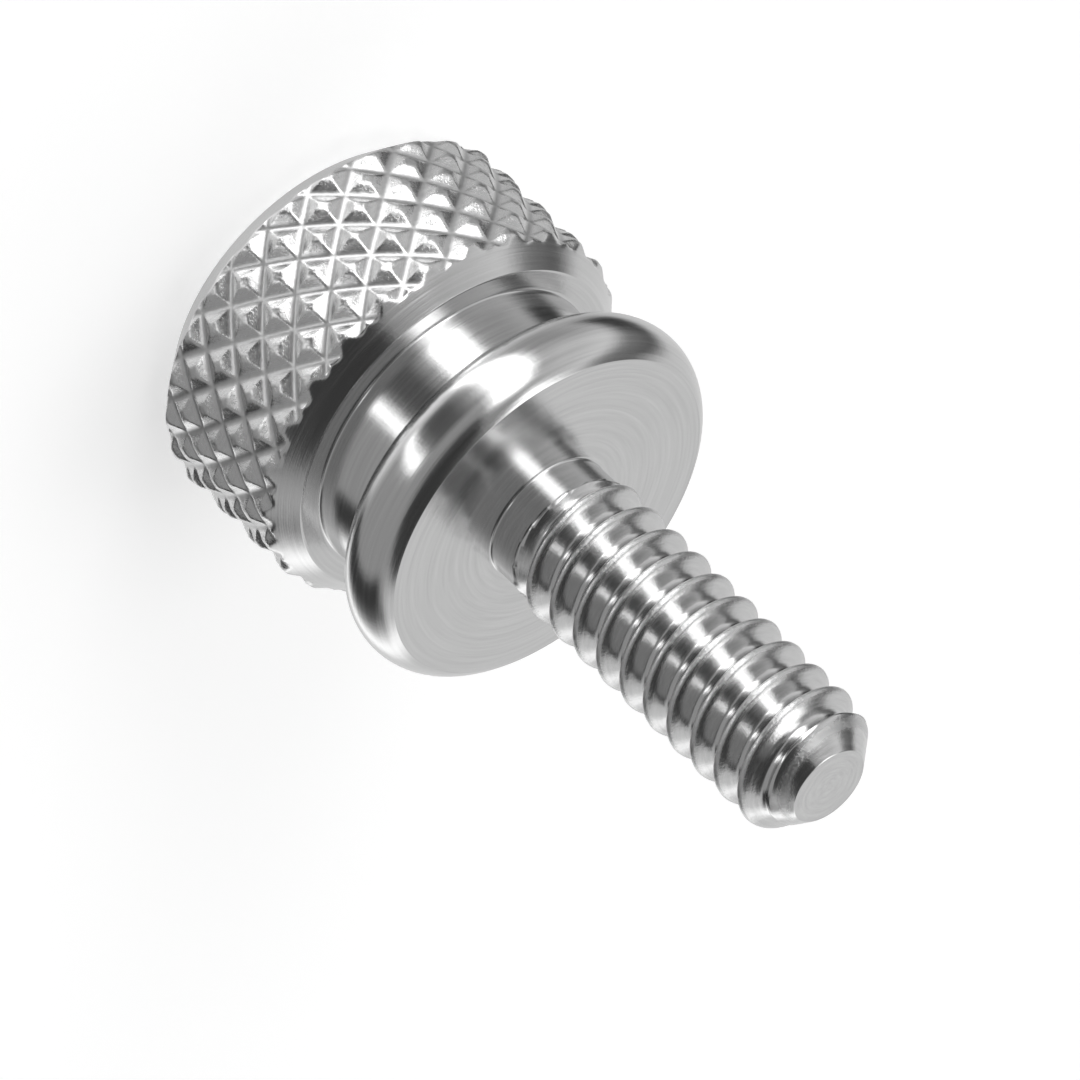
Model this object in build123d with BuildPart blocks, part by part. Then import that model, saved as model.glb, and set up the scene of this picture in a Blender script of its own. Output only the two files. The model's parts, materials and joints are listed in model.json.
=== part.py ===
"""Thumb screw: one turned body with a knurled head, a neck, a flange and a thread.

It stands on the flat top of its head, at the origin, with the thread pointing up along +Z.
"""
from build123d import *
import math
import os

# ---- Driving dimensions, in millimetres and degrees ---------------------------

# Head: a short cylinder with a chamfer at each end
head_diameter = 9.525
head_height = 4.80
top_chamfer = 0.80
under_chamfer = 0.60

# Knurl: two crossed families of grooves, which leave rows of pyramids between them
knurl_grooves = 25
knurl_angle = 46.0
knurl_depth = 0.18
knurl_floor = 0.09
knurl_crest = 0.16
knurl_first_row = 0.25

# Neck and flange
neck_diameter = 7.28
neck_length = 1.60
flange_diameter = 9.16
flange_thickness = 1.62
flange_rim_depth = 0.46

# Shank, with a plain relief under the flange
shank_length = 9.525
relief_diameter = 3.08
relief_length = 0.80
runout_length = 0.30

# Right-hand thread, 6-32 UNC
thread_major = 3.38
thread_pitch = 25.4 / 32
thread_depth = 0.45
thread_crest = 0.12
thread_flank = 30.0
thread_start = 0.71

# Tip
tip_flat_diameter = 1.85
tip_chamfer_angle = 45.0

# ---- Heights above the head's flat top, and radii -----------------------------

head_radius = head_diameter / 2
flange_base = head_height + neck_length
seat = flange_base + flange_thickness
thread_base = seat + relief_length
tip = seat + shank_length
major_radius = thread_major / 2
root_radius = major_radius - thread_depth

# How far a cutting or joining shape reaches past the surface that it works on
overlap = 0.05
clear = 0.3


# ---- Knurled head -------------------------------------------------------------

# A pyramid fills the space between four grooves. Its foot is a diamond that sinks a
# little into the cylinder that holds the grooves' floors, and its flanks close in
# from the foot to a small flat crest over the depth of the knurl.
floor_radius = head_radius - knurl_depth
groove_spacing = 2 * math.pi * floor_radius / knurl_grooves
row_spacing = groove_spacing / math.tan(math.radians(knurl_angle)) / 2
knurl_pitch = groove_spacing * math.cos(math.radians(knurl_angle))
flank_slope = (knurl_pitch - knurl_floor - knurl_crest) / 2 / knurl_depth
flank_angle = math.degrees(math.atan(flank_slope))

with BuildPart() as pyramid:
    with BuildSketch(Plane.YZ.offset(floor_radius - overlap)):
        with BuildLine():
            Polyline(
                (groove_spacing / 2, 0),
                (0, row_spacing),
                (-groove_spacing / 2, 0),
                (0, -row_spacing),
                close=True,
            )
        make_face()
        offset(amount=overlap * flank_slope - knurl_floor / 2, kind=Kind.INTERSECTION)
    extrude(amount=knurl_depth + overlap, taper=flank_angle)


def pyramid_places():
    """One place for each pyramid: rows around the head, each row half a groove on."""
    rows = math.ceil((head_height - knurl_first_row) / row_spacing)
    places = []
    for row in range(rows):
        height = knurl_first_row + row * row_spacing
        for groove in range(knurl_grooves):
            turn = 360 / knurl_grooves * (groove + (row + 1) / 2)
            places.append(Location((0, 0, height), (0, 0, turn)))
    return places


with BuildPart() as knurled_head:
    with BuildSketch():
        Circle(floor_radius)
    extrude(amount=head_height)
    with Locations(*pyramid_places()):
        add(pyramid.part, clean=False)

    # The chamfers are turned after the knurl, so they cut its grooves off ragged.
    with BuildSketch(Plane.XZ):
        with BuildLine():
            Polyline(
                (0, 0),
                (head_radius - top_chamfer, 0),
                (head_radius + clear, top_chamfer + clear),
                (head_radius + clear, head_height - under_chamfer - clear),
                (head_radius - under_chamfer, head_height),
                (0, head_height),
                close=True,
            )
        make_face()
    revolve(axis=Axis.Z, mode=Mode.INTERSECT)


# ---- Threaded shank -----------------------------------------------------------

# The thread is a ridge wound round the root cylinder. Both run past their ends,
# and the tip's chamfer and the start of the thread are turned on them.
crest_half = thread_crest / 2
foot_half = crest_half + thread_depth * math.tan(math.radians(thread_flank))
tip_slope = math.tan(math.radians(tip_chamfer_angle))
tip_chamfer_length = (major_radius - tip_flat_diameter / 2) / tip_slope

with BuildPart() as shank:
    with BuildLine() as winding:
        Helix(
            pitch=thread_pitch,
            height=shank_length - thread_start + 2 * thread_pitch,
            radius=root_radius,
            center=(0, 0, seat + thread_start - thread_pitch),
        )
    start_plane = Plane(origin=winding.line @ 0, x_dir=(1, 0, 0), z_dir=winding.line % 0)
    with BuildSketch(start_plane):
        with BuildLine():
            Polyline(
                (-overlap, -foot_half),
                (0, -foot_half),
                (thread_depth, -crest_half),
                (thread_depth, crest_half),
                (0, foot_half),
                (-overlap, foot_half),
                close=True,
            )
        make_face()
    sweep(path=winding.line, is_frenet=True)
    with BuildSketch(Plane.XY.offset(seat - clear)):
        Circle(root_radius)
    extrude(amount=shank_length + 2 * thread_pitch)

    # Tip: everything beyond the flat end and its chamfer
    with BuildSketch(Plane.XZ):
        with BuildLine():
            Polyline(
                (0, tip),
                (tip_flat_diameter / 2, tip),
                (major_radius + clear, tip - tip_chamfer_length - clear / tip_slope),
                (major_radius + clear, tip + 3 * thread_pitch),
                (0, tip + 3 * thread_pitch),
                close=True,
            )
        make_face()
    revolve(axis=Axis.Z, mode=Mode.SUBTRACT)

    # Start of the thread: the ridge rises out of the relief along a cone
    with BuildSketch(Plane.XZ):
        with BuildLine():
            Polyline(
                (0, seat - thread_pitch),
                (major_radius + clear, seat - thread_pitch),
                (major_radius + clear, thread_base + major_radius + clear - relief_diameter / 2),
                (relief_diameter / 2, thread_base),
                (relief_diameter / 2, thread_base - overlap),
                (0, thread_base - overlap),
                close=True,
            )
        make_face()
    revolve(axis=Axis.Z, mode=Mode.SUBTRACT)


# ---- Whole screw --------------------------------------------------------------

rim_foot = flange_diameter / 2 - flange_rim_depth

with BuildPart() as thumb_screw:
    add(knurled_head.part)
    add(shank.part)

    # Neck, flange with its rounded rim, relief, and the run-out down to the root
    with BuildSketch(Plane.XZ):
        with BuildLine():
            Polyline(
                (0, thread_base + runout_length),
                (0, head_height - overlap),
                (neck_diameter / 2, head_height - overlap),
                (neck_diameter / 2, flange_base),
                (rim_foot, flange_base),
            )
            ThreePointArc(
                (rim_foot, flange_base),
                (flange_diameter / 2, (flange_base + seat) / 2),
                (rim_foot, seat),
            )
            Polyline(
                (rim_foot, seat),
                (relief_diameter / 2, seat),
                (relief_diameter / 2, thread_base),
                (root_radius, thread_base + runout_length),
                (0, thread_base + runout_length),
            )
        make_face()
    revolve(axis=Axis.Z)

thumb_screw.part.label = "thumb_screw"

os.makedirs("parts", exist_ok=True)
export_step(thumb_screw.part, "parts/thumb_screw.step")
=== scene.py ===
"""The looks of a turned thumb screw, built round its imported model.

The screw stands on the flat top of its head, at the origin, with the thread up along +Z.
Lengths are in metres; the sizes written in millimetres are multiplied by MM.
"""
import bpy
import json
import math
import numpy as np
from mathutils import Matrix, Vector


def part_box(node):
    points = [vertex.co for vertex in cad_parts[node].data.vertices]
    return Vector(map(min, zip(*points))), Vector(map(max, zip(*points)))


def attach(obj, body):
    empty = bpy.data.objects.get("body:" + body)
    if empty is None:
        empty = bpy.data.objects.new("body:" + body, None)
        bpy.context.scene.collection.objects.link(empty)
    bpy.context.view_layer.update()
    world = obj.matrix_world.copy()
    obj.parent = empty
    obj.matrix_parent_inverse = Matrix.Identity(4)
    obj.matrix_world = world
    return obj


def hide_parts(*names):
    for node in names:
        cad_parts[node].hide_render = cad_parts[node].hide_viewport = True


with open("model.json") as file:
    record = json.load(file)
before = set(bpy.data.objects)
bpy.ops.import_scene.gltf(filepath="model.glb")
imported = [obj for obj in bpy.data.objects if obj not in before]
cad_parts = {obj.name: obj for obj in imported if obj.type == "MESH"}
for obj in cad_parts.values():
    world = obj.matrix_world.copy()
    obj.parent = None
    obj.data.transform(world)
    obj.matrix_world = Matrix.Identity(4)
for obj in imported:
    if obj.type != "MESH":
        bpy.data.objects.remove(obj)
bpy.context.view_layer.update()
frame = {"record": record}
screw_low, screw_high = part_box("thumb_screw")
MM = 0.001


# ---- Knurled head ----------------------------------------------------------------
# The head is the full width of the steel bar, and a pair of wheels presses two crossed
# families of grooves into it. The chamfers are turned last, and cut the grooves off ragged.

HEAD_RADIUS = (screw_high.x - screw_low.x) / 2
HEAD_HEIGHT = 4.80 * MM
TOP_CHAMFER = 0.80 * MM
UNDER_CHAMFER = 0.60 * MM
CHAMFER_BLEND = 0.01 * MM

GROOVES = 25
KNURL_ANGLE = math.radians(46)
KNURL_DEPTH = 0.18 * MM
GROOVE_FLOOR = 0.09 * MM
KNURL_CREST = 0.16 * MM
FIRST_ROW = 0.25 * MM
FLOOR_BLEND = 0.035 * MM
RIDGE_BLEND = 0.008 * MM
CREST_BLEND = 0.02 * MM

# The crests' heights differ by this share of the knurl's depth, scattered by a large sine.
CREST_SPREAD = 0.16
SCATTER_ROUND = 12.9898
SCATTER_UP = 78.233
SCATTER_SIZE = 43758.5453

STEPS_PER_GROOVE = 24
TOP_RINGS = 3

# A finish is two numbers from 0 to 1: how far the surface was formed by pressing, where a
# turned one is 0, and how near it is to the top of a crest.
TURNED = (0.0, 0.0)

patches = []


def lay(radius, height, turn, finish, lean=None):
    """Keeps one patch of the surface: the points at (radius, turn, height) of a grid.

    Each point lies at its radius from the axis, turned by its angle, at its height. Rows
    run along the outline from the head's top to the tip, and columns run counterclockwise,
    so that the faces look outwards. Every cell is two triangles, split along the rising
    diagonal where lean is true and along the falling one elsewhere. The finish goes with
    the points.
    """
    radius, height, turn = np.broadcast_arrays(radius, height, turn)
    x = radius * np.cos(turn)
    y = radius * np.sin(turn)
    points = np.stack([x, y, height], axis=-1).reshape(-1, 3)
    rows, columns = radius.shape
    index = np.arange(rows * columns).reshape(rows, columns)

    # A cell's corners, counterclockwise from the lower left
    a = index[:-1, :-1].ravel()
    b = index[:-1, 1:].ravel()
    c = index[1:, 1:].ravel()
    d = index[1:, :-1].ravel()
    rising = np.ones(a.shape, bool) if lean is None else lean.ravel()
    first = np.where(rising[:, None], np.stack([a, b, c], 1), np.stack([a, b, d], 1))
    second = np.where(rising[:, None], np.stack([a, c, d], 1), np.stack([b, c, d], 1))
    formed, near_crest, _ = np.broadcast_arrays(*finish, radius)
    marks = np.stack([formed, near_crest], axis=-1).reshape(-1, 2)
    patches.append((points, np.concatenate([first, second]), marks))


def around(count):
    """Angles of a full turn in even steps, with both ends, which the weld joins."""
    return np.linspace(0, 2 * math.pi, count + 1)


def soft_min(a, b, blend):
    """The smaller of two lengths, with the corner between them rounded over blend.

    Half of their sum, less half the root of their difference squared plus blend squared.
    """
    return (a + b - np.sqrt((a - b) ** 2 + blend ** 2)) / 2


def soft_max(a, b, blend):
    """The larger of two lengths, rounded in the same way: the root is added."""
    return (a + b + np.sqrt((a - b) ** 2 + blend ** 2)) / 2


def from_whole(value):
    """How far a number is from the nearest whole one, from 0 to a half."""
    return np.abs(value - np.round(value))


floor_radius = HEAD_RADIUS - KNURL_DEPTH
groove_spacing = 2 * math.pi * floor_radius / GROOVES
row_spacing = groove_spacing / math.tan(KNURL_ANGLE) / 2
knurl_pitch = groove_spacing * math.cos(KNURL_ANGLE)
flank_run = (knurl_pitch - GROOVE_FLOOR - KNURL_CREST) / 2


def groove_waves(turn, height):
    """A place's count of grooves in the falling family and in the rising one.

    The turn in grooves plus the height in pairs of rows, and the same less the height.
    Either is a whole number in the middle of a groove.
    """
    along = (height - FIRST_ROW) / (2 * row_spacing)
    across = turn * GROOVES / (2 * math.pi)
    return across + along, across - along


def uneven(falling, rising):
    """A number from 0 to 1 for each pyramid, the fraction of a large sine of its place.

    The place is counted by the grooves of each family, so that it closes round the head.
    """
    first = np.floor(falling)
    second = np.floor(rising)
    around_count = np.mod(first + second, 2 * GROOVES)
    value = np.sin(around_count * SCATTER_ROUND + (first - second) * SCATTER_UP) * SCATTER_SIZE
    return value - np.floor(value)


def knurl_relief(turn, height):
    """Height of the knurl above its groove floors.

    In each family, the distance to the nearest groove gives a flat floor and a sloping
    flank. The lower of the two families' flanks is the surface, which leaves pyramids
    between the grooves. Their crests are cut off a little unevenly, as the bar's skin was.
    """
    falling, rising = groove_waves(turn, height)
    flanks = []
    for wave in (falling, rising):
        distance = from_whole(wave) * knurl_pitch
        flank = (distance - GROOVE_FLOOR / 2) * KNURL_DEPTH / flank_run
        flanks.append(soft_max(flank, 0.0, FLOOR_BLEND))
    pyramid = soft_min(flanks[0], flanks[1], RIDGE_BLEND)
    crest = KNURL_DEPTH * (1 - CREST_SPREAD + CREST_SPREAD * uneven(falling, rising))
    return soft_min(pyramid, crest, CREST_BLEND)


def chamfer_radius(height):
    """Radius of the nearer chamfer's cone: its end's radius plus the distance from that end."""
    foot = HEAD_RADIUS - TOP_CHAMFER + height
    shoulder = HEAD_RADIUS - UNDER_CHAMFER + HEAD_HEIGHT - height
    return np.minimum(foot, shoulder)


# Rows of points at even steps, which fall on every row of pyramids, and one at each end
step = 2 * row_spacing / STEPS_PER_GROOVE
first_step = math.ceil(-FIRST_ROW / step)
last_step = math.floor((HEAD_HEIGHT - FIRST_ROW) / step)
heights = FIRST_ROW + step * np.arange(first_step, last_step + 1)
heights = np.concatenate([[0.0], heights, [HEAD_HEIGHT]])
head_turn = around(GROOVES * STEPS_PER_GROOVE)
turn_grid, height_grid = np.meshgrid(head_turn, heights)
relief = knurl_relief(turn_grid, height_grid)
chamfers = chamfer_radius(height_grid)
head_radius = soft_min(floor_radius + relief, chamfers, CHAMFER_BLEND)
head_radius = np.where(height_grid <= 0, HEAD_RADIUS - TOP_CHAMFER, head_radius)
head_radius = np.where(height_grid >= HEAD_HEIGHT, HEAD_RADIUS - UNDER_CHAMFER, head_radius)

# Each cell is split along the groove that it lies nearest, which keeps the grooves straight.
middle_turn = (turn_grid[:-1, :-1] + turn_grid[1:, 1:]) / 2
middle_height = (height_grid[:-1, :-1] + height_grid[1:, 1:]) / 2
falling_wave, rising_wave = groove_waves(middle_turn, middle_height)
lean = from_whole(rising_wave) < from_whole(falling_wave)
on_knurl = (floor_radius + relief < chamfers).astype(float)
lay(head_radius, height_grid, turn_grid, (on_knurl, on_knurl * relief / KNURL_DEPTH), lean)

# The flat top, which the screw stands on
top_rings = np.linspace(0, HEAD_RADIUS - TOP_CHAMFER, TOP_RINGS)[:, None]
lay(top_rings, 0.0, head_turn[None, :], TURNED)


# ---- Neck and flange ---------------------------------------------------------------
# Next to the head the same bar is turned down to a short neck. The flange beyond it has
# a rounded rim and a faced seat, which bears on the work.

mounts = {mount["name"]: mount for mount in frame["record"]["mounts"]}
NECK_RADIUS = 3.64 * MM
FLANGE_BASE = 6.40 * MM
SEAT = mounts["bearing_face"]["pos_m"][2]
FLANGE_RADIUS = 4.58 * MM
RIM_DEPTH = 0.46 * MM
RELIEF_RADIUS = 1.54 * MM
NECK_FILLET = 0.06 * MM
EDGE_RADIUS = 0.035 * MM

COLUMNS = 120
RIM_POINTS = 31
RIM_TRIM = 2
CORNER_POINTS = 6
GUARD_REACH = 1.6
UNDERFACE_JOIN = 0.985

coarse = around(COLUMNS)


def arc_through(start, middle, end, count):
    """Points of the circle's arc through three points of the outline.

    The centre is as far from each of the three, and the points go round it in even steps.
    """
    (ax, ay), (bx, by), (cx, cy) = start, middle, end
    four_areas = 2 * (ax * (by - cy) + bx * (cy - ay) + cx * (ay - by))
    a2, b2, c2 = ax * ax + ay * ay, bx * bx + by * by, cx * cx + cy * cy
    ox = (a2 * (by - cy) + b2 * (cy - ay) + c2 * (ay - by)) / four_areas
    oy = (a2 * (cx - bx) + b2 * (ax - cx) + c2 * (bx - ax)) / four_areas
    first = math.atan2(ay - oy, ax - ox)
    last = math.atan2(cy - oy, cx - ox)
    angles = np.linspace(first, last, count)
    size = math.hypot(ax - ox, ay - oy)
    return np.stack([ox + size * np.cos(angles), oy + size * np.sin(angles)], axis=1)


def round_corner(before, corner, after, size):
    """The arc of radius size that joins two straight stretches at a corner.

    Its centre lies on the line that halves the corner, at the radius over the sine of the
    half angle. One more point on each side of the arc keeps the flats' shading flat.
    """
    corner = np.array(corner)
    back = np.array(before) - corner
    ahead = np.array(after) - corner
    back = back / np.linalg.norm(back)
    ahead = ahead / np.linalg.norm(ahead)
    half = math.acos(np.clip(back @ ahead, -1, 1)) / 2
    reach = size / math.tan(half)
    inward = (back + ahead) / np.linalg.norm(back + ahead)
    centre = corner + inward * size / math.sin(half)
    sweep = np.linspace(-1, 1, CORNER_POINTS) * (math.pi / 2 - half)
    side = (ahead - back) / np.linalg.norm(ahead - back)
    arc = centre + size * (np.sin(sweep)[:, None] * side - np.cos(sweep)[:, None] * inward)
    guard = reach * GUARD_REACH
    return np.concatenate([[corner + back * guard], arc, [corner + ahead * guard]])


def turn_outline(outline):
    """Keeps a turned stretch: its outline's (radius, height) points carried round the axis."""
    lay(outline[:, :1], outline[:, 1:], coarse[None, :], TURNED)


neck_foot = (NECK_RADIUS, HEAD_HEIGHT)
neck_top = (NECK_RADIUS, FLANGE_BASE)
rim_back = (FLANGE_RADIUS - RIM_DEPTH, FLANGE_BASE)
rim_middle = (FLANGE_RADIUS, (FLANGE_BASE + SEAT) / 2)
rim_face = (FLANGE_RADIUS - RIM_DEPTH, SEAT)
seat_root = (RELIEF_RADIUS, SEAT)
underface_edge = (HEAD_RADIUS - UNDER_CHAMFER, HEAD_HEIGHT)
underface_join = (underface_edge[0] * UNDERFACE_JOIN, HEAD_HEIGHT)

# The rim's arc stops short at both ends, to leave room for its softened edges.
rim = arc_through(rim_back, rim_middle, rim_face, RIM_POINTS)[RIM_TRIM:-RIM_TRIM]
seat_edge = round_corner(rim[-1], rim_face, seat_root, EDGE_RADIUS)

# From the head's columns to the fewer ones of the rest, across a ring of the flat underface
columns_each = (len(head_turn) - 1) // COLUMNS
snapped = coarse[np.round(np.arange(len(head_turn)) / columns_each).astype(int)]
underface_ring = np.array([[underface_edge[0]], [underface_join[0]]])
lay(underface_ring, HEAD_HEIGHT, np.stack([head_turn, snapped]), TURNED)

turn_outline(np.concatenate([
    [underface_join],
    round_corner(underface_join, neck_foot, neck_top, NECK_FILLET),
    round_corner(neck_foot, neck_top, rim_back, NECK_FILLET),
    round_corner(neck_top, rim_back, rim[0], EDGE_RADIUS),
    rim,
    seat_edge,
]))


# ---- Relief, thread and tip ----------------------------------------------------------
# Past the seat the shank is turned down, plain for one pitch, and then carries a
# right-hand thread with rounded crests. The tip is chamfered and faced flat.

SHANK_RADIUS = 1.69 * MM
THREAD_BASE = SEAT + 0.80 * MM
TIP = screw_high.z
PITCH = 25.4 / 32 * MM
THREAD_DEPTH = 0.45 * MM
THREAD_START = SEAT + 0.71 * MM
THREAD_FORMED = 0.5
FLANK_ANGLE = math.radians(30)
FLANK_PEAK = 0.10 * MM
CREST_ROUND = 0.06 * MM
ROOT_ROUND = 0.07 * MM
CREST_BAND = 0.09 * MM
CREST_FADE = 0.06 * MM
RUN_OUT_SLOPE = 0.9
START_SLOPE = 1.0

TIP_FLAT = 0.925 * MM
TIP_SLOPE = 1.0
TIP_COLLAR = 0.14 * MM
TIP_EDGE = 0.05 * MM
TIP_BLEND = 0.015 * MM
ROWS_PER_PITCH = 18
SEAT_FILLET = 0.05 * MM
RELIEF_EDGE = 0.04 * MM

turn_outline(np.concatenate([
    seat_edge[-1:],
    round_corner(rim_face, seat_root, (RELIEF_RADIUS, THREAD_BASE), SEAT_FILLET),
    [(RELIEF_RADIUS, THREAD_BASE - 2 * RELIEF_EDGE), (RELIEF_RADIUS, THREAD_BASE - RELIEF_EDGE)],
]))


def thread_radius(phase):
    """Radius of the thread at a phase of the pitch, 0 on the crest and half in the root.

    The flanks fall from a sharp peak above the crest, by the distance along the axis over
    the tangent of the flank's angle. The shank's radius cuts the peak off, and the root's
    radius stops them below, each with its corner rounded.
    """
    from_crest = from_whole(phase) * PITCH
    flank = SHANK_RADIUS + FLANK_PEAK - from_crest / math.tan(FLANK_ANGLE)
    capped = soft_min(flank, SHANK_RADIUS, CREST_ROUND)
    return soft_max(capped, SHANK_RADIUS - THREAD_DEPTH, ROOT_ROUND)


# Each row of points follows the thread round. A point past either end is brought back to
# it, and the weld drops the triangles that this leaves with no width.
turns = (TIP - THREAD_BASE) / PITCH
rows = np.arange(-ROWS_PER_PITCH, math.ceil(turns + 1) * ROWS_PER_PITCH) / ROWS_PER_PITCH
row_grid, turn_grid = np.meshgrid(rows, coarse, indexing="ij")
shift = (THREAD_START - THREAD_BASE) / PITCH
height_grid = THREAD_BASE + (row_grid + shift + turn_grid / (2 * math.pi)) * PITCH
thread_foot = THREAD_BASE - RELIEF_EDGE
thread_end = TIP - TIP_COLLAR
height_grid = np.clip(height_grid, thread_foot, thread_end)
phase = (height_grid - THREAD_START) / PITCH - turn_grid / (2 * math.pi)
wound = thread_radius(phase)

# From the relief the crest rises along one cone and the root sinks along another, and the
# tip's chamfer is a third cone.
past_base = height_grid - THREAD_BASE
run_out = RELIEF_RADIUS - RUN_OUT_SLOPE * past_base
start_cone = RELIEF_RADIUS + START_SLOPE * past_base
tip_cone = TIP_FLAT + (TIP - height_grid) * TIP_SLOPE
collar = TIP_FLAT + TIP_COLLAR * TIP_SLOPE
surface = np.clip(wound, run_out, np.maximum(start_cone, run_out))
surface = soft_min(surface, tip_cone, TIP_BLEND)
surface = np.where(height_grid <= thread_foot, RELIEF_RADIUS, surface)
surface = np.where(height_grid >= thread_end, collar, surface)
near_crest = np.clip((wound - SHANK_RADIUS + CREST_BAND) / CREST_FADE, 0, 1)
lay(surface, height_grid, turn_grid, (THREAD_FORMED, near_crest))

# The end is turned: the last of the chamfer, a soft edge and the flat disc
turn_outline(np.concatenate([
    [(collar, thread_end)],
    round_corner((collar, thread_end), (TIP_FLAT, TIP), (0, TIP), TIP_EDGE),
    [(TIP_FLAT / 2, TIP), (0, TIP)],
]))


# ---- One turned body -------------------------------------------------------------------
# All the patches above are one piece of metal, so they are welded into one mesh. It is
# bright steel, with the rings of the turning tool on its turned faces, small dents where
# it was pressed, and duller, speckled crests.

WELD_STEP = 0.0001 * MM


def weld(parts):
    """Joins the patches: points that coincide to a tenth of a micron become one.

    A triangle that has lost a corner to this is dropped.
    """
    starts = np.cumsum([0] + [len(points) for points, _, _ in parts[:-1]])
    points = np.concatenate([part[0] for part in parts])
    triangles = np.concatenate([part[1] + start for part, start in zip(parts, starts)])
    marks = np.concatenate([part[2] for part in parts])
    keys = np.round(points / WELD_STEP).astype(np.int64)
    _, chosen, new_index = np.unique(keys, axis=0, return_index=True, return_inverse=True)
    triangles = new_index.ravel()[triangles]
    a, b, c = triangles.T
    whole = (a != b) & (b != c) & (c != a)
    return points[chosen], triangles[whole], marks[chosen]


points, triangles, marks = weld(patches)
mesh = bpy.data.meshes.new("thumb_screw_body")
mesh.from_pydata(points.tolist(), [], triangles.tolist())
mesh.attributes.new("formed", "FLOAT", "POINT").data.foreach_set("value", marks[:, 0])
mesh.attributes.new("crest", "FLOAT", "POINT").data.foreach_set("value", marks[:, 1])
mesh.shade_smooth()
screw = bpy.data.objects.new("thumb_screw_body", mesh)
bpy.context.scene.collection.objects.link(screw)


def new_group(name, inputs, outputs):
    """A shader node group with number sockets, given as (name, default) and names."""
    group = bpy.data.node_groups.new(name, "ShaderNodeTree")
    for socket_name, default in inputs:
        socket = group.interface.new_socket(socket_name, in_out="INPUT", socket_type="NodeSocketFloat")
        socket.default_value = default
    for socket_name in outputs:
        group.interface.new_socket(socket_name, in_out="OUTPUT", socket_type="NodeSocketFloat")
    return group, group.nodes.new("NodeGroupInput"), group.nodes.new("NodeGroupOutput")


def math_node(tree, operation, *values):
    """A Math node whose inputs are sockets or plain numbers, and its output."""
    node = tree.nodes.new("ShaderNodeMath")
    node.operation = operation
    for socket, value in zip(node.inputs, values):
        if isinstance(value, bpy.types.NodeSocket):
            tree.links.new(value, socket)
        else:
            socket.default_value = value
    return node.outputs[0]


def turning_marks_group():
    """Rings left by the tool: noise in the distance from the axis and the height.

    The noise is four-dimensional. Its first two axes run round a circle of radius
    Sweep, so that a ring changes slowly along its way and closes on itself; the
    third is the height and the fourth the radius, both divided by Spacing.
    """
    group, given, result = new_group(
        "turning_marks", [("Spacing", 0.05 * MM), ("Sweep", 1.0), ("Detail", 3.0)], ["Marks"])
    least_radius = 0.01 * MM
    position = group.nodes.new("ShaderNodeTexCoord")
    split = group.nodes.new("ShaderNodeSeparateXYZ")
    group.links.new(position.outputs["Object"], split.inputs[0])
    x, y, z = split.outputs
    x_square = math_node(group, "MULTIPLY", x, x)
    y_square = math_node(group, "MULTIPLY", y, y)
    square = math_node(group, "ADD", x_square, y_square)
    radius = math_node(group, "MAXIMUM", math_node(group, "SQRT", square), least_radius)
    circle = math_node(group, "DIVIDE", given.outputs["Sweep"], radius)
    place = group.nodes.new("ShaderNodeCombineXYZ")
    group.links.new(math_node(group, "MULTIPLY", x, circle), place.inputs[0])
    group.links.new(math_node(group, "MULTIPLY", y, circle), place.inputs[1])
    group.links.new(math_node(group, "DIVIDE", z, given.outputs["Spacing"]), place.inputs[2])
    noise = group.nodes.new("ShaderNodeTexNoise")
    noise.noise_dimensions = "4D"
    noise.inputs["Scale"].default_value = 1.0
    group.links.new(given.outputs["Detail"], noise.inputs["Detail"])
    group.links.new(place.outputs[0], noise.inputs["Vector"])
    group.links.new(math_node(group, "DIVIDE", radius, given.outputs["Spacing"]), noise.inputs["W"])
    group.links.new(noise.outputs["Fac"], result.inputs["Marks"])
    return group


def grain_group():
    """Fine dents and specks: noise as coarse as Size, of which only what is over Threshold stays."""
    group, given, result = new_group("grain", [("Size", 0.1 * MM), ("Threshold", 0.5)], ["Grain"])
    position = group.nodes.new("ShaderNodeTexCoord")
    scaled = group.nodes.new("ShaderNodeVectorMath")
    scaled.operation = "SCALE"
    group.links.new(position.outputs["Object"], scaled.inputs[0])
    group.links.new(math_node(group, "DIVIDE", 1.0, given.outputs["Size"]), scaled.inputs["Scale"])
    noise = group.nodes.new("ShaderNodeTexNoise")
    noise.inputs["Scale"].default_value = 1.0
    noise.inputs["Detail"].default_value = 4.0
    group.links.new(scaled.outputs[0], noise.inputs["Vector"])
    cut = math_node(group, "SUBTRACT", noise.outputs["Fac"], given.outputs["Threshold"])
    group.links.new(math_node(group, "MAXIMUM", cut, 0.0), result.inputs["Grain"])
    return group


def place_group(tree, group, **values):
    """Places a node group in a material with its own values."""
    node = tree.nodes.new("ShaderNodeGroup")
    node.node_tree = group
    for socket_name, value in values.items():
        node.inputs[socket_name].default_value = value
    return node.outputs[0]


def attribute(tree, name):
    """The value of one of the mesh's own attributes."""
    node = tree.nodes.new("ShaderNodeAttribute")
    node.attribute_name = name
    return node.outputs["Fac"]


steel = bpy.data.materials.new("turned_steel")
steel.use_nodes = True
tree = steel.node_tree
shader = tree.nodes["Principled BSDF"]
shader.inputs["Metallic"].default_value = 1.0
shader.inputs["Anisotropic"].default_value = 0.45
shader.inputs["Anisotropic Rotation"].default_value = 0.25
tangent = tree.nodes.new("ShaderNodeTangent")
tangent.direction_type = "RADIAL"
tangent.axis = "Z"
tree.links.new(tangent.outputs[0], shader.inputs["Tangent"])

turning_marks = turning_marks_group()
grain = grain_group()
formed = attribute(tree, "formed")
crest = attribute(tree, "crest")
turned = math_node(tree, "SUBTRACT", 1.0, formed)
feed = place_group(tree, turning_marks, Spacing=0.035 * MM, Sweep=1.0, Detail=3.0)
streaks = place_group(tree, turning_marks, Spacing=0.07 * MM, Sweep=1.6, Detail=4.0)
specks = place_group(tree, grain, Size=0.05 * MM, Threshold=0.5)
dents = place_group(tree, grain, Size=0.22 * MM, Threshold=0.42)

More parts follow.
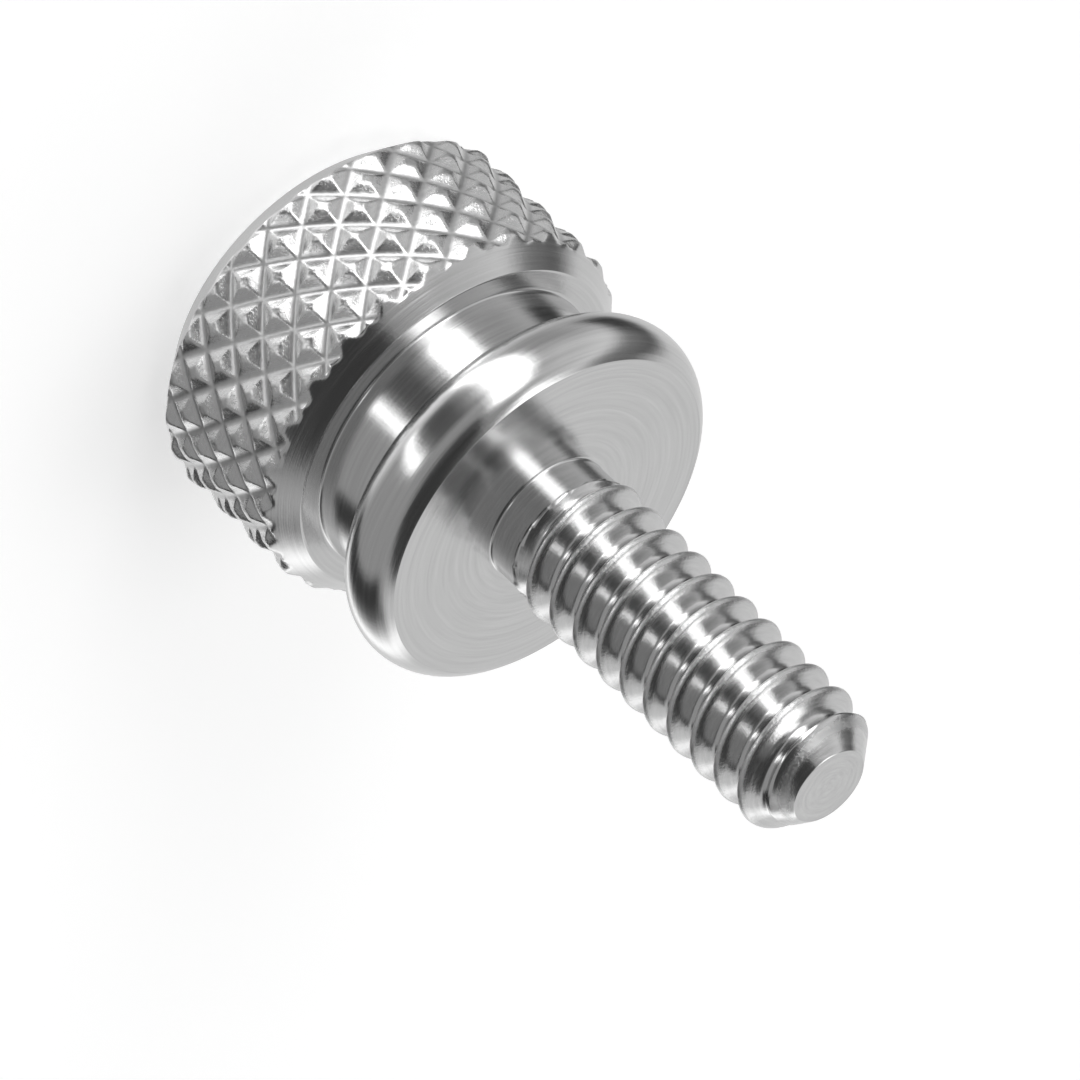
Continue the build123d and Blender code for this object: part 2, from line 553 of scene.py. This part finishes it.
# Height of the surface, in thousandths of a millimetre: rings on turned faces, of which a
# share stays on formed ones, specks that grow on crests, and dents that grow where formed
FEED_HEIGHT = 1.3
STREAK_HEIGHT = 1.6
RINGS_KEPT = 0.15
SPECK_HEIGHT = 1.0
CREST_SPECKS = 18.0
DENT_HEIGHT = 1.5
FORMED_DENTS = 7.0
BUMP_UNIT = 0.001 * MM

streak_rings = math_node(tree, "MULTIPLY", streaks, STREAK_HEIGHT)
rings = math_node(tree, "MULTIPLY_ADD", feed, FEED_HEIGHT, streak_rings)
ring_share = math_node(tree, "MULTIPLY_ADD", turned, 1 - RINGS_KEPT, RINGS_KEPT)
rings = math_node(tree, "MULTIPLY", rings, ring_share)
speck_height = math_node(tree, "MULTIPLY_ADD", crest, CREST_SPECKS, SPECK_HEIGHT)
rough_crest = math_node(tree, "MULTIPLY", specks, speck_height)
dent_height = math_node(tree, "MULTIPLY_ADD", formed, FORMED_DENTS, DENT_HEIGHT)
dented = math_node(tree, "MULTIPLY", dents, dent_height)
surface_height = math_node(tree, "ADD", rings, math_node(tree, "ADD", rough_crest, dented))
bump = tree.nodes.new("ShaderNodeBump")
bump.inputs["Strength"].default_value = 1.0
bump.inputs["Distance"].default_value = BUMP_UNIT
tree.links.new(surface_height, bump.inputs["Height"])
tree.links.new(bump.outputs[0], shader.inputs["Normal"])

# Roughness: bright metal, duller along the marks, on crests and in the knurl's grooves,
# which the thread's lesser forming doesn't reach
POLISHED = 0.10
STREAK_DULLNESS = 0.16
CREST_DULLNESS = 0.14
GROOVE_DULLNESS = 0.30
GROOVE_FADE = 3.5
KNURL_FORMED = 0.75

roughness = math_node(tree, "MULTIPLY_ADD", streaks, STREAK_DULLNESS, POLISHED)
roughness = math_node(tree, "MULTIPLY_ADD", crest, CREST_DULLNESS, roughness)
below_crest = math_node(tree, "MULTIPLY_ADD", crest, -GROOVE_FADE, 1.0)
low_ground = math_node(tree, "MAXIMUM", below_crest, 0.0)
knurled = math_node(tree, "GREATER_THAN", formed, KNURL_FORMED)
in_groove = math_node(tree, "MULTIPLY", low_ground, knurled)
roughness = math_node(tree, "MULTIPLY_ADD", in_groove, GROOVE_DULLNESS, roughness)
tree.links.new(roughness, shader.inputs["Roughness"])

# Colour: nickel grey, a little darker in the marks
DARK_STEEL = 0.58
LIGHT_STEEL = 0.68
FAINT_STREAK = 0.25
STRONG_STREAK = 0.75

tone = tree.nodes.new("ShaderNodeMapRange")
tone.inputs["From Min"].default_value = FAINT_STREAK
tone.inputs["From Max"].default_value = STRONG_STREAK
tone.inputs["To Min"].default_value = DARK_STEEL
tone.inputs["To Max"].default_value = LIGHT_STEEL
tree.links.new(streaks, tone.inputs["Value"])
grey = tree.nodes.new("ShaderNodeCombineColor")
for socket in grey.inputs:
    tree.links.new(tone.outputs[0], socket)
tree.links.new(grey.outputs[0], shader.inputs["Base Color"])
mesh.materials.append(steel)

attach(screw, "root")
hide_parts("thumb_screw")


# ---- Floor -----------------------------------------------------------------------------
# The screw stands on a sheet of white paper, which isn't part of it. Mirrored rays and the
# light from below pass through the paper, so that the metal mirrors the whole room.

FLOOR_REACH = 1.0
FLOOR_WHITE = 0.5
PAPER_GREY = 0.8

corners = [(-1, -1), (1, -1), (1, 1), (-1, 1)]
floor_mesh = bpy.data.meshes.new("floor")
floor_mesh.from_pydata([(x * FLOOR_REACH, y * FLOOR_REACH, 0) for x, y in corners], [], [(0, 1, 2, 3)])
floor = bpy.data.objects.new("floor", floor_mesh)
bpy.context.scene.collection.objects.link(floor)
paper = bpy.data.materials.new("paper")
paper.use_nodes = True
tree = paper.node_tree
shader = tree.nodes["Principled BSDF"]
shader.inputs["Base Color"].default_value = (PAPER_GREY, PAPER_GREY, PAPER_GREY, 1)
shader.inputs["Roughness"].default_value = 0.9
shader.inputs["Specular IOR Level"].default_value = 0.0
rays = tree.nodes.new("ShaderNodeLightPath")
shader.inputs["Emission Color"].default_value = (1, 1, 1, 1)
white = math_node(tree, "MULTIPLY", rays.outputs["Is Camera Ray"], FLOOR_WHITE)
tree.links.new(white, shader.inputs["Emission Strength"])
clear = tree.nodes.new("ShaderNodeBsdfTransparent")
through = math_node(tree, "MAXIMUM", rays.outputs["Is Glossy Ray"], rays.outputs["Is Shadow Ray"])
blend = tree.nodes.new("ShaderNodeMixShader")
tree.links.new(through, blend.inputs["Fac"])
tree.links.new(shader.outputs[0], blend.inputs[1])
tree.links.new(clear.outputs[0], blend.inputs[2])
tree.links.new(blend.outputs[0], tree.nodes["Material Output"].inputs["Surface"])
floor_mesh.materials.append(paper)


# ---- Room and light ----------------------------------------------------------------------
# The room round the screw is an even grey, with soft boxes of light and black cards. They
# light the screw and are what its metal mirrors, and the camera sees plain white instead.

# Each box or card is a direction from the screw (azimuth and elevation), half its width and
# height and the softness of its edge, in degrees, and the light that it adds or takes.
CARDS = {
    "back_wall": (95, 12, 76, 60, 26, 0.40),
    "side_wall": (-178, 20, 30, 34, 16, 0.30),
    "key_box": (-128, -14, 12, 58, 8, 2.9),
    "overhead_box": (165, 72, 42, 13, 7, 2.0),
    "strip_box": (-64, -26, 5, 34, 5, 1.9),
    "ground_glow": (0, -90, 180, 26, 18, 0.75),
    "camera_card": (-88, -22, 14, 34, 8, -0.28),
    "black_tent": (-38, 58, 66, 16, 7, -0.85),
    "dim_ceiling": (-30, 84, 110, 12, 8, -0.20),
    "right_card": (21, -20, 15, 42, 8, -0.55),
    "right_strip": (50, -12, 6, 42, 6, 0.8),
    "left_card": (152, 4, 14, 46, 8, -0.72),
}
ROOM_LEVEL = 0.38
LEAST_LIGHT = 0.05

world = bpy.data.worlds.new("studio")
world.use_nodes = True
tree = world.node_tree
direction = tree.nodes.new("ShaderNodeTexCoord").outputs["Generated"]
split = tree.nodes.new("ShaderNodeSeparateXYZ")
tree.links.new(direction, split.inputs[0])
azimuth = math_node(tree, "ARCTAN2", split.outputs[1], split.outputs[0])
elevation = math_node(tree, "ARCSINE", split.outputs[2])


def fade(tree, angle, centre, half, soft):
    """1 round the centre and 0 beyond it, for an angle given in degrees.

    It falls smoothly as the angle's distance from the centre goes from half less soft to
    half plus soft.
    """
    offset = math_node(tree, "SUBTRACT", angle, math.radians(centre))
    offset = math_node(tree, "WRAP", offset, math.pi, -math.pi)
    edge = tree.nodes.new("ShaderNodeMapRange")
    edge.interpolation_type = "SMOOTHSTEP"
    edge.inputs["From Min"].default_value = math.radians(half + soft)
    edge.inputs["From Max"].default_value = math.radians(half - soft)
    tree.links.new(math_node(tree, "ABSOLUTE", offset), edge.inputs["Value"])
    return edge.outputs[0]


light = ROOM_LEVEL
for centre, height, half_width, half_height, soft, level in CARDS.values():
    cover = math_node(
        tree, "MULTIPLY",
        fade(tree, azimuth, centre, half_width, soft),
        fade(tree, elevation, height, half_height, soft))
    light = math_node(tree, "MULTIPLY_ADD", cover, level, light)
light = math_node(tree, "MAXIMUM", light, LEAST_LIGHT)
backdrop = tree.nodes.new("ShaderNodeBackground")
rays = tree.nodes.new("ShaderNodeLightPath")
room = tree.nodes["Background"]
tree.links.new(light, room.inputs["Strength"])
room.inputs["Color"].default_value = (1, 1, 1, 1)
backdrop.inputs["Color"].default_value = (1, 1, 1, 1)
blend = tree.nodes.new("ShaderNodeMixShader")
tree.links.new(rays.outputs["Is Camera Ray"], blend.inputs["Fac"])
tree.links.new(room.outputs[0], blend.inputs[1])
tree.links.new(backdrop.outputs[0], blend.inputs[2])
tree.links.new(blend.outputs[0], tree.nodes["World Output"].inputs["Surface"])
bpy.context.scene.world = world


# ---- Camera --------------------------------------------------------------------------------
# A long lens close to the screw, which looks down on its tip. It is rolled, so that the
# thread points down to the right.

ELEVATION = math.radians(31.64)
ROLL = math.radians(43.81)
DISTANCE = 0.25497
AIM_BACK = 0.172 * MM
AIM_DOWN = 0.476 * MM
LENS = 400
SENSOR_WIDTH = 36
NEAREST_SEEN = 0.01

to_camera = Vector((0, -math.cos(ELEVATION), math.sin(ELEVATION)))
level_right = Vector((1, 0, 0))
level_up = Vector((0, math.sin(ELEVATION), math.cos(ELEVATION)))
right = -math.sin(ROLL) * level_right + math.cos(ROLL) * level_up
up = -math.cos(ROLL) * level_right - math.sin(ROLL) * level_up
aim = Vector((0, 0, SEAT)) - AIM_BACK * right - AIM_DOWN * up
camera_data = bpy.data.cameras.new("camera")
camera_data.lens = LENS
camera_data.sensor_width = SENSOR_WIDTH
camera_data.clip_start = NEAREST_SEEN
camera = bpy.data.objects.new("camera", camera_data)
turned_to = Matrix((right, up, to_camera)).transposed().to_4x4()
camera.matrix_world = Matrix.Translation(aim + to_camera * DISTANCE) @ turned_to
bpy.context.scene.collection.objects.link(camera)
bpy.context.scene.camera = camera
bpy.context.scene.view_settings.view_transform = "Standard"
